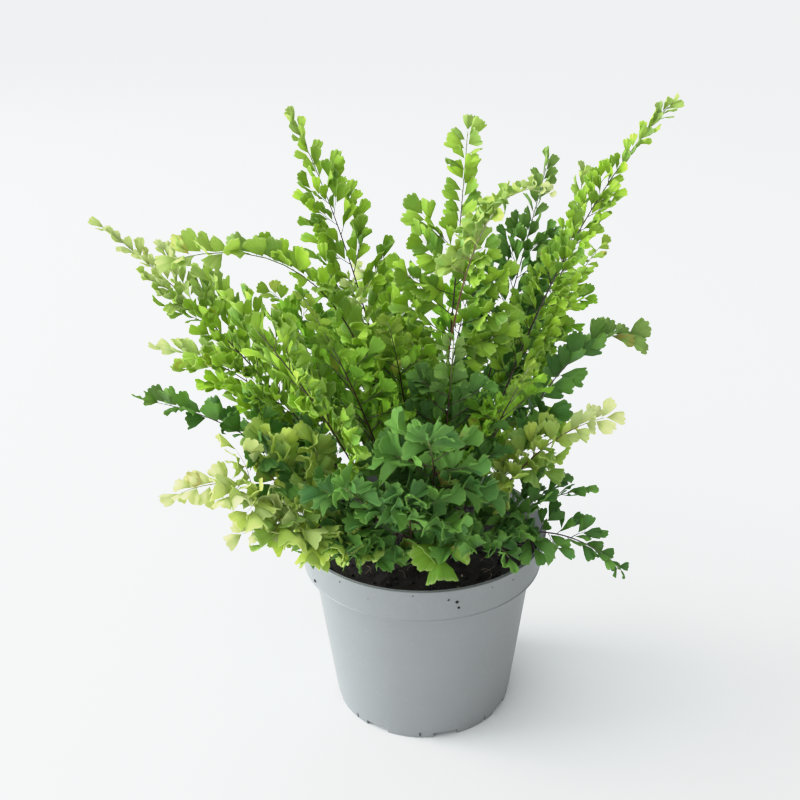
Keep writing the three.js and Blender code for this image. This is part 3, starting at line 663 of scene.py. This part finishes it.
def add_crumb(bm, rng, place, size):
    """A rough lump: a small ball squashed, turned and roughened, the same in each run."""
    noise.seed_set(CRUMB_SEED)
    squash = Matrix.Diagonal((1, rng.uniform(0.6, 1), rng.uniform(0.4, 0.8), 1))
    matrix = Matrix.Translation(place) @ random_turn(rng) @ squash
    made = bmesh.ops.create_icosphere(bm, subdivisions=1, radius=size, matrix=matrix)
    for vert in made["verts"]:
        vert.co += 0.35 * size * noise.noise_vector(vert.co * 900)


class FERN_OT_soil(bpy.types.Operator):
    """Fills the pot with peat, and lays crumbs, pale fibres and grit on it"""
    bl_idname = "fern.soil"
    bl_label = "Soil"

    def execute(self, context):
        soil = context.scene.fern_soil
        pot = context.scene.fern_pot
        peat = soil_material("peat", soil.color, (0.036, 0.023, 0.016))
        add_piece("soil_body", soil_body(pot), [peat], "soil", "soil")
        self.add_crumbs(soil, pot, peat)
        self.add_grit(pot)
        self.add_fibres(pot)
        return {"FINISHED"}

    def add_crumbs(self, soil, pot, peat):
        rng = Random(11)
        bm = bmesh.new()
        for _ in range(soil.crumbs):
            x, y = scatter(rng, pot.band_foot_radius - 3 * MM)
            size = soil.crumb_size * (0.25 + 0.75 * rng.random() ** 3)
            add_crumb(bm, rng, Vector((x, y, soil_height(x, y) + 0.3 * size)), size)
        add_piece("soil_crumbs", bm, [peat], "soil")

    def add_grit(self, pot):
        rng = Random(23)
        bm = bmesh.new()
        for _ in range(GRIT):
            x, y = scatter(rng, pot.band_foot_radius - 4 * MM)
            size = rng.uniform(0.35, 1.0) * MM
            add_crumb(bm, rng, Vector((x, y, soil_height(x, y) + 0.8 * MM)), size)
        grit = speckled_material("grit", 1500, (0.42, 0.36, 0.26), (0.72, 0.68, 0.58), 0.85)
        add_piece("soil_grit", bm, [grit], "soil")

    def add_fibres(self, pot):
        rng = Random(37)
        paths = []
        for _ in range(FIBRES):
            x, y = scatter(rng, pot.band_foot_radius - 8 * MM)
            turn = 2 * pi * rng.random()
            reach = rng.uniform(3, 9) * MM
            bend = rng.uniform(-1.2, 1.2)
            path = []
            for i in range(FIBRE_POINTS):
                share = i / (FIBRE_POINTS - 1)
                here = Vector((x + reach * share * cos(turn + bend * share),
                               y + reach * share * sin(turn + bend * share), 0))
                if here.length > pot.band_foot_radius - 3 * MM:
                    break
                here.z = soil_height(here.x, here.y) + (0.7 + 1.2 * sin(pi * share)) * MM
                path.append((here, FIBRE_RADIUS))
            if len(path) > 2:
                paths.append(path)
        fibre = speckled_material("root_fibre", 300, (0.10, 0.06, 0.03), (0.32, 0.24, 0.15), 0.7)
        bm = bmesh.new()
        add_stems(bm, paths, 1)
        add_piece("soil_fibres", bm, [fibre], "soil")


# ---- Fronds ----

def add_stems(bm, paths, resolution, material_index=0):
    """Closed round stems along lists of (place, radius) pairs, added to a bmesh."""
    curve = bpy.data.curves.new("stems", "CURVE")
    curve.dimensions = "3D"
    curve.bevel_depth = 1
    curve.bevel_resolution = resolution
    curve.use_fill_caps = True
    for path in paths:
        spline = curve.splines.new("POLY")
        spline.points.add(len(path) - 1)
        for point, (place, radius) in zip(spline.points, path):
            point.co = (*place, 1)
            point.radius = radius
    holder = bpy.data.objects.new("stems", curve)
    mesh = bpy.data.meshes.new_from_object(holder)
    mesh.polygons.foreach_set("material_index", [material_index] * len(mesh.polygons))
    bm.from_mesh(mesh)
    bmesh.ops.remove_doubles(bm, verts=bm.verts, dist=0.001 * MM)
    bpy.data.objects.remove(holder)
    bpy.data.curves.remove(curve)
    bpy.data.meshes.remove(mesh)


class Stem:
    """A curved axis with its directions: along it, to its left side, and out of its upper face."""
    STEPS = 24

    def __init__(self, start, bend, end, side, roll=0.0):
        handles = [start.lerp(bend, 2 / 3), end.lerp(bend, 2 / 3)]
        self.points = interpolate_bezier(start, *handles, end, self.STEPS + 1)
        self.lengths = [0.0]
        for a, b in zip(self.points, self.points[1:]):
            self.lengths.append(self.lengths[-1] + (b - a).length)
        self.length = self.lengths[-1]
        self.side = side
        self.roll = roll

    def at(self, share):
        """The place at a share of the stem's length, and the directions there: along the stem, to its
        side and out of its upper face."""
        reach = min(max(share, 0), 1) * self.length
        index = 0
        while index < self.STEPS - 1 and self.lengths[index + 1] < reach:
            index += 1
        here, there = self.points[index], self.points[index + 1]
        span = self.lengths[index + 1] - self.lengths[index]
        place = here.lerp(there, (reach - self.lengths[index]) / span)
        before = self.points[max(index - 1, 0)]
        after = self.points[min(index + 2, self.STEPS)]
        along = (after - before).normalized()
        side = (self.side - self.side.dot(along) * along).normalized()
        side = Matrix.Rotation(self.roll, 3, along) @ side
        return place, along, side, along.cross(side)

    def path(self, first, last, radius_first, radius_last, steps):
        """(place, radius) pairs from one share of the stem to another."""
        shares = [i / steps for i in range(steps + 1)]
        return [(self.at(first + (last - first) * s)[0],
                 radius_first + (radius_last - radius_first) * s) for s in shares]


# How far from its base a leaflet has rows of points, how much its sides bulge, and how much its lobes
# narrow at the clefts.
ROWS = (0.0, 0.6, 1.0)
BELLY = 0.16
CLEFT_PINCH = 0.09
BLADE_CREASE = radians(50)


def leaflet_mesh(name, blade, mirrored, seed, thickness):
    """One leaflet of unit length, out along +Y with its upper face to +Z: a fan with a lobed outer
    edge, bent and waved, as a thin closed shell."""
    rng = Random(seed)
    waves = [rng.uniform(0, 2 * pi) for _ in range(2)]
    sizes = [rng.uniform(0.92, 1.04) for _ in range(blade.lobes)]
    bend = blade.cup * rng.choice((1.0, 0.8, -0.6))
    fold = blade.cup * rng.uniform(-0.5, 1.2)
    opening = blade.right + blade.left
    columns = 3 * blade.lobes
    bm = bmesh.new()
    start = Matrix.Rotation(-blade.right, 3, "Z")
    verts = [bm.verts.new(start @ Vector((0, row, 0))) for row in ROWS]
    edges = [bm.edges.new(pair) for pair in zip(verts, verts[1:])]
    bmesh.ops.spin(bm, geom=verts + edges, axis=UP, angle=opening, steps=columns)
    bmesh.ops.remove_doubles(bm, verts=bm.verts, dist=0.001)
    layer = bm.loops.layers.uv.new("blade")
    shares = {vert: share_across(vert.co, blade, opening) for vert in bm.verts}
    for face in bm.faces:
        face.smooth = True
        for loop in face.loops:
            loop[layer].uv = (shares[loop.vert], loop.vert.co.length)
    for vert in bm.verts:
        out = vert.co.length
        share = shares[vert]
        lobe = share * blade.lobes
        cleft = 1 - abs(sin(pi * lobe)) ** 0.7
        corner = abs(2 * share - 1)
        edge = sizes[min(int(lobe), blade.lobes - 1)] * (1 - blade.fall * corner ** 4)
        edge -= blade.cut * cleft
        reach = out * (1 + (edge - 1) * out ** 2)
        turn = opening * (share - CLEFT_PINCH / blade.lobes * sin(2 * pi * lobe)) - blade.right
        turn *= 1 + BELLY * sin(pi * out)
        height = -bend * out ** 2 - fold * (2 * share - 1) ** 2 * out
        height += blade.wave * out ** 1.5 * sin(waves[0] + 2.2 * pi * share + 1.5 * out)
        height += 0.5 * blade.wave * out ** 2 * sin(waves[1] + 5 * pi * share)
        vert.co = Vector((-reach * sin(turn), reach * cos(turn), height))
    if mirrored:
        bmesh.ops.scale(bm, vec=(-1, 1, 1), verts=bm.verts)
    bmesh.ops.recalc_face_normals(bm, faces=bm.faces)
    if sum(face.normal.z for face in bm.faces) < 0:
        bmesh.ops.reverse_faces(bm, faces=bm.faces)
    bmesh.ops.solidify(bm, geom=bm.faces, thickness=thickness)
    for edge in bm.edges:
        edge.smooth = edge.calc_face_angle(0) < BLADE_CREASE
    mesh = bpy.data.meshes.new(name)
    bm.to_mesh(mesh)
    bm.free()
    for attribute in ("tint", "age"):
        mesh.attributes.new(attribute, "FLOAT", "FACE")
    return mesh


def share_across(place, blade, opening):
    """How far across the blade a place lies, from 0 at its right side to 1 at its left."""
    if place.length < 0.01:
        return 0.5
    turn = -Vector((0, 1)).angle_signed(place.xy)
    return min(max((turn + blade.right) / opening, 0), 1)


def leaflet_meshes(thickness):
    """Every kind of leaflet, right and left handed, in a few variants."""
    meshes = {}
    for kind, blade in BLADES.items():
        for mirrored in (False, True):
            for variant in range(VARIANTS):
                name = f"{kind}_{variant}"
                seed = f"{kind} {variant}"
                meshes[kind, mirrored, variant] = leaflet_mesh(name, blade, mirrored, seed, thickness)
    return meshes


# In leaf lengths: the pitch of side branches, of single leaflets and of leaflets on a side branch, the
# shortest side branch, and a leaflet's own stalk.
PINNA_PITCH = 0.52
LEAFLET_PITCH = 0.30
TILE_PITCH = 0.25
PINNA_LEAST = 0.8
FOOTSTALK = 0.13

# A side branch's share of the spread, how fast the branches shorten towards the tip, where along one
# its leaflets start and end, and their share of the twist.
PINNA_SHARE = 0.78
PINNA_TAPER = 0.5
LEAFLETS_FROM = 0.16
LEAFLETS_TO = 0.94
BRANCH_TWIST = 0.7

# A side branch's rise in degrees, as mean and spread, its opening at its foot in radians, and its sag
# as a share of its length.
BRANCH_RISE = (14, 16)
BRANCH_OPENING = 0.3
BRANCH_SAG = 0.08

# The leaf length that a blade's thickness is worked out for, the stalk's depth in the soil, the radii
# of stalks at their ends, and how far leaflets stay clear of the soil and the rim.
USUAL_LEAF = 9 * MM
BURIED = 6 * MM
TIP_RADIUS = 0.22 * MM
BRANCH_RADII = (0.24 * MM, 0.12 * MM)
FOOTSTALK_RADII = (0.09 * MM, 0.07 * MM)
LEAF_CLEARANCE = 2 * MM
INSIDE_RIM = 4 * MM


class Grower:
    """Grows one frond: collects its stems and places its leaflets."""

    def __init__(self, frond, fern, leaflets):
        self.frond = frond
        self.habit = HABITS[frond.habit]
        self.fern = fern
        self.leaflets = leaflets
        self.rng = Random(frond.name)
        self.leaf = frond.leaf * MM
        self.branches = []
        self.footstalks = []
        self.placed = []
        root = Vector((*frond.root, 0)) * MM
        root.z = soil_height(root.x, root.y)
        mid = Vector(frond.mid) * MM
        tip = Vector(frond.tip) * MM
        outward = Vector((tip.x - root.x, tip.y - root.y, 0)).normalized()
        bend = 2 * mid - (root + tip) / 2
        self.stem = Stem(root, bend, tip, UP.cross(outward), radians(frond.roll))
        self.root = root

    def grow(self):
        """Leaflets and side branches in turn on both sides, from the bare stalk to the tip."""
        frond = self.frond
        last = 1 - 0.8 * self.habit.tip * self.leaf / self.stem.length
        buried = [(self.root - BURIED * UP, self.fern.stalk)]
        rachis = self.stem.path(0, last, self.fern.stalk, TIP_RADIUS, Stem.STEPS)
        self.branches.append(buried + rachis)
        share = frond.bare
        side = self.rng.choice((1, -1))
        while share < last - 0.15 * self.leaf / self.stem.length:
            up = (share - frond.bare) / (last - frond.bare)
            reach = PINNA_SHARE * frond.spread * MM * (1 - up) ** PINNA_TAPER
            reach *= self.rng.uniform(0.8, 1.15)
            if up < self.habit.single and reach > PINNA_LEAST * self.leaf:
                self.add_pinna(share, side, reach, up)
                pitch = self.leaf * PINNA_PITCH
            else:
                self.add_leaflet(self.stem, share, side, 1 - up)
                pitch = self.leaf * LEAFLET_PITCH * (1 - 0.25 * up)
            side = -side
            share += pitch * self.rng.uniform(0.85, 1.15) / self.stem.length
        self.add_leaflet(self.stem, last, 0, 0)

    def add_pinna(self, share, side, reach, up):
        """A side branch, which bends down a little under its own weight."""
        place, along, across, upper = self.stem.at(share)
        rng = self.rng
        forward = radians(rng.gauss(self.habit.forward + 6 - 10 * up, 6))
        lift = radians(rng.gauss(*BRANCH_RISE))
        out = side * cos(lift) * across + sin(lift) * upper
        way = sin(forward + BRANCH_OPENING) * out + cos(forward + BRANCH_OPENING) * along
        end = place + 0.92 * reach * way + 0.2 * reach * along - BRANCH_SAG * reach * UP
        branch = Stem(place, place + 0.5 * reach * way, end, upper.cross(way))
        self.branches.append(branch.path(0, 1, *BRANCH_RADII, 5))
        spot = LEAFLETS_FROM * reach
        turn = -side
        while spot < LEAFLETS_TO * reach:
            self.add_leaflet(branch, spot / reach, turn, 1 - up)
            turn = -turn
            spot += self.leaf * TILE_PITCH * rng.uniform(0.85, 1.15)
        self.add_leaflet(branch, 1, 0, 1 - up)

    def add_leaflet(self, stem, share, side, age):
        """A leaflet on its own short stalk, to one side of a stem or at its end."""
        rng = self.rng
        main = stem is self.stem
        place, along, across, upper = stem.at(share)
        tip = self.habit.tip
        size = self.leaf * rng.uniform(0.84, 1.12) * (tip + (1 - tip) * min(1, 2.5 * age))
        forward = radians(rng.gauss(self.habit.forward, 8)) if side else 0
        lift = radians(rng.gauss(self.habit.lift if main else self.habit.fold, 12))
        out = side * cos(lift) * across + sin(lift) * upper
        way = sin(forward) * out + cos(forward) * along
        face = side * along.cross(way).normalized() if side else upper
        twist = self.habit.twist if main else BRANCH_TWIST * self.habit.twist
        face = Matrix.Rotation(radians(rng.gauss(0, twist)), 3, way) @ face
        for _ in range(4):
            foot = place + FOOTSTALK * size * way
            if clear_of_pot(foot, foot + size * way):
                break
            way = (way + 0.3 * UP).normalized()
        else:
            return
        face = (face - face.dot(way) * way).normalized()
        ends = (place, foot + 0.06 * size * way)
        self.footstalks.append(list(zip(ends, FOOTSTALK_RADII)))
        turn = Matrix((way.cross(face), way, face)).transposed().to_4x4()
        matrix = Matrix.Translation(foot) @ turn @ Matrix.Scale(size, 4)
        kind = (self.habit.blade, side > 0, rng.randrange(VARIANTS))
        tint = self.habit.bright * rng.random()
        self.placed.append((kind, matrix, tint, 1 - self.habit.pale * (1 - age)))

    def joined(self):
        """The whole frond as one bmesh."""
        bm = bmesh.new()
        add_stems(bm, self.branches, 1, material_index=1)
        add_stems(bm, self.footstalks, 0, material_index=1)
        layer = bm.faces.layers.float.new("age")
        reach = (self.stem.points[-1] - self.root).length
        for face in bm.faces:
            face[layer] = 1 - (face.calc_center_median() - self.root).length / reach
        for kind, matrix, tint, age in self.placed:
            mesh = self.leaflets[kind].copy()
            mesh.transform(matrix)
            count = len(mesh.polygons)
            mesh.attributes["tint"].data.foreach_set("value", [tint] * count)
            mesh.attributes["age"].data.foreach_set("value", [age] * count)
            bm.from_mesh(mesh)
            bpy.data.meshes.remove(mesh)
        return bm


def clear_of_pot(*places):
    """Whether places lie above the soil and the rim, or outside the pot."""
    for place in places:
        reach = hypot(place.x, place.y)
        if reach < RIM_RADIUS + LEAF_CLEARANCE:
            inside = reach < RIM_RADIUS - INSIDE_RIM
            floor = soil_height(place.x, place.y) if inside else POT_HEIGHT
            if place.z < floor + LEAF_CLEARANCE:
                return False
    return True


# The colours of fresh leaflets, margins and veins, and of the light that comes through a leaflet.
LEAF_TONES = {
    "young": ((0.88, 0.89, 0.48), (0.76, 0.86, 0.21)),
    "light": ((0.80, 0.86, 0.40), (0.60, 0.75, 0.12)),
    "middle": ((0.368, 0.496, 0.072), (0.408, 0.592, 0.04)),
    "dark": ((0.304, 0.448, 0.104), (0.248, 0.416, 0.048)),
}


class FERN_OT_fronds(bpy.types.Operator):
    """Grows every frond: a dark wiry stalk with side branches and fan-shaped leaflets"""
    bl_idname = "fern.fronds"
    bl_label = "Fronds"

    def execute(self, context):
        fern = context.scene.fern_leaves
        leaflets = leaflet_meshes(fern.blade / USUAL_LEAF)
        tones = {tone: leaf_material("leaf_" + tone, getattr(fern, tone), *colors)
                 for tone, colors in LEAF_TONES.items()}
        dark_stalk = stalk_material("stalk_dark", (0.040, 0.016, 0.010), (0.20, 0.26, 0.08))
        red_stalk = stalk_material("stalk_red", (0.12, 0.035, 0.02), (0.34, 0.40, 0.14))
        for frond in FRONDS:
            grower = Grower(frond, fern, leaflets)
            grower.grow()
            stalk = red_stalk if frond.tone == "young" else dark_stalk
            add_piece("leaves_" + frond.name, grower.joined(), [tones[frond.tone], stalk],
                      "fronds_" + frond.tone, frond.name)
        for mesh in leaflets.values():
            bpy.data.meshes.remove(mesh)
        return {"FINISHED"}


# ---- Stage ----

CAMERA_PLACE = (0, -425.2 * MM, 337.8 * MM)
CAMERA_PITCH = radians(22.85)
CAMERA_YAW = radians(-1.31)
CAMERA_ROLL = radians(-0.91)
FLOOR_SIZE = 60
FLOOR_COLOR = (0.865, 0.867, 0.87, 1)
BACKDROP = (1.12, 1.14, 1.15, 1)
SKY_LEFT = (1.97, 2.06, 2.1, 1)
SKY_RIGHT = (0.03, 0.02, 0.015, 1)
KEY_PLACE = (-1.0, 0.2, 1.0)
KEY_ANGLE = radians(18)
SOFTBOX_PLACE = (-3.1, 0.1, 1.1)
SOFTBOX_SIZE = 1.8
SOFTBOX_COLOR = (0.91, 0.985, 1.0)

# The light that falls in and the tone that the picture shows for it, where 1 is pure white.
FILM_TONES = ((0, 0), (0.5, 0.5), (0.75, 0.73), (0.95, 0.83), (1.2, 0.875), (1.5, 0.945), (2.2, 0.98))
FILM_WHITE = FILM_TONES[-1][0]


class FERN_OT_stage(bpy.types.Operator):
    """Lays the pale floor, and sets the studio light and the camera"""
    bl_idname = "fern.stage"
    bl_label = "Stage"

    def execute(self, context):
        stage = context.scene.fern_stage
        self.add_floor()
        self.add_light(context, stage)
        self.add_camera(context, stage)
        return {"FINISHED"}

    def add_floor(self):
        bm = bmesh.new()
        bmesh.ops.create_grid(bm, x_segments=2, y_segments=2, size=FLOOR_SIZE / 2)
        material, start = new_material("floor_paper")
        surface = start.principled({
            "Base Color": FLOOR_COLOR, "Roughness": 0.9, "Specular IOR Level": 0.2})
        floor = new_object("floor", bm, [finish_material(material, surface)])

    def add_light(self, context, stage):
        """An even sky that is brighter on the left, with a plain backdrop, a sun and a wide lamp."""
        world = bpy.data.worlds.new("studio")
        world.use_nodes = True
        world.node_tree.nodes.clear()
        start = Shade(world.node_tree)
        way = start.node("ShaderNodeTexCoord", output="Generated")
        right = start.node("ShaderNodeSeparateXYZ", {}, {"Vector": way}) * 0.5 + 0.5
        light = right.mix(SKY_LEFT, SKY_RIGHT)
        seen = start.node("ShaderNodeLightPath", output="Is Camera Ray")
        background = start.node("ShaderNodeBackground", {}, {
            "Color": seen.mix(light, BACKDROP), "Strength": stage.sky})
        output = world.node_tree.nodes.new("ShaderNodeOutputWorld")
        world.node_tree.links.new(background.socket, output.inputs["Surface"])
        context.scene.world = world
        sun = bpy.data.lights.new("key", "SUN")
        sun.energy = stage.key
        sun.angle = KEY_ANGLE
        self.add_lamp(context, "key", sun, KEY_PLACE)
        softbox = bpy.data.lights.new("softbox", "AREA")
        softbox.energy = stage.softbox
        softbox.size = SOFTBOX_SIZE
        softbox.color = SOFTBOX_COLOR
        self.add_lamp(context, "softbox", softbox, SOFTBOX_PLACE)
        self.set_film(context)

    def set_film(self, context):
        """Keeps the brightest tones from washing out, as film does."""
        view = context.scene.view_settings
        view.view_transform = "Standard"
        view.use_curve_mapping = True
        film = view.curve_mapping
        film.white_level = (FILM_WHITE,) * 3
        film.extend = "HORIZONTAL"
        points = film.curves[3].points
        points[0].location = (0, 0)
        points[1].location = (1, FILM_TONES[-1][1])
        for light, tone in FILM_TONES[1:-1]:
            points.new(light / FILM_WHITE, tone)
        film.update()

    def add_lamp(self, context, name, lamp, place):
        """A lamp at a place, turned to the plant."""
        holder = bpy.data.objects.new(name, lamp)
        holder.location = place
        holder.rotation_euler = (-Vector(place)).to_track_quat("-Z", "Y").to_euler()
        context.scene.collection.objects.link(holder)

    def add_camera(self, context, stage):
        lens = bpy.data.cameras.new("camera")
        lens.lens = stage.lens
        lens.clip_end = 2 * FLOOR_SIZE
        lens.clip_start = 0.01
        camera = bpy.data.objects.new("camera", lens)
        camera.matrix_world = (Matrix.Translation(CAMERA_PLACE)
                               @ Matrix.Rotation(-CAMERA_YAW, 4, "Z")
                               @ Matrix.Rotation(pi / 2 - CAMERA_PITCH, 4, "X")
                               @ Matrix.Rotation(CAMERA_ROLL, 4, "Z"))
        context.scene.collection.objects.link(camera)
        context.scene.camera = camera


# ---- The add-on ----

class FERN_PT_panel(bpy.types.Panel):
    """Lists the steps that build the fern and their settings"""
    bl_idname = "FERN_PT_panel"
    bl_label = "Potted fern"
    bl_space_type = "VIEW_3D"
    bl_region_type = "UI"
    bl_category = "Fern"

    def draw(self, context):
        for operator, settings in STEPS:
            box = self.layout.box()
            box.operator(operator)
            group = getattr(context.scene, settings)
            for name in group.bl_rna.properties.keys():
                if name not in ("rna_type", "name"):
                    box.prop(group, name)


SETTINGS = {
    "fern_pot": PotSettings,
    "fern_soil": SoilSettings,
    "fern_leaves": FernSettings,
    "fern_stage": StageSettings,
}
STEPS = [
    ("fern.pot", "fern_pot"),
    ("fern.soil", "fern_soil"),
    ("fern.fronds", "fern_leaves"),
    ("fern.stage", "fern_stage"),
]
CLASSES = [*SETTINGS.values(), FERN_OT_pot, FERN_OT_soil, FERN_OT_fronds, FERN_OT_stage, FERN_PT_panel]


def register():
    for item in CLASSES:
        bpy.utils.register_class(item)
    for name, group in SETTINGS.items():
        setattr(bpy.types.Scene, name, PointerProperty(type=group))


def unregister():
    for name in SETTINGS:
        delattr(bpy.types.Scene, name)
    for item in reversed(CLASSES):
        bpy.utils.unregister_class(item)


def main():
    register()
    bpy.ops.fern.pot()
    bpy.ops.fern.soil()
    bpy.ops.fern.fronds()
    bpy.ops.fern.stage()
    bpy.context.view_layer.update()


if __name__ == "__main__":
    main()
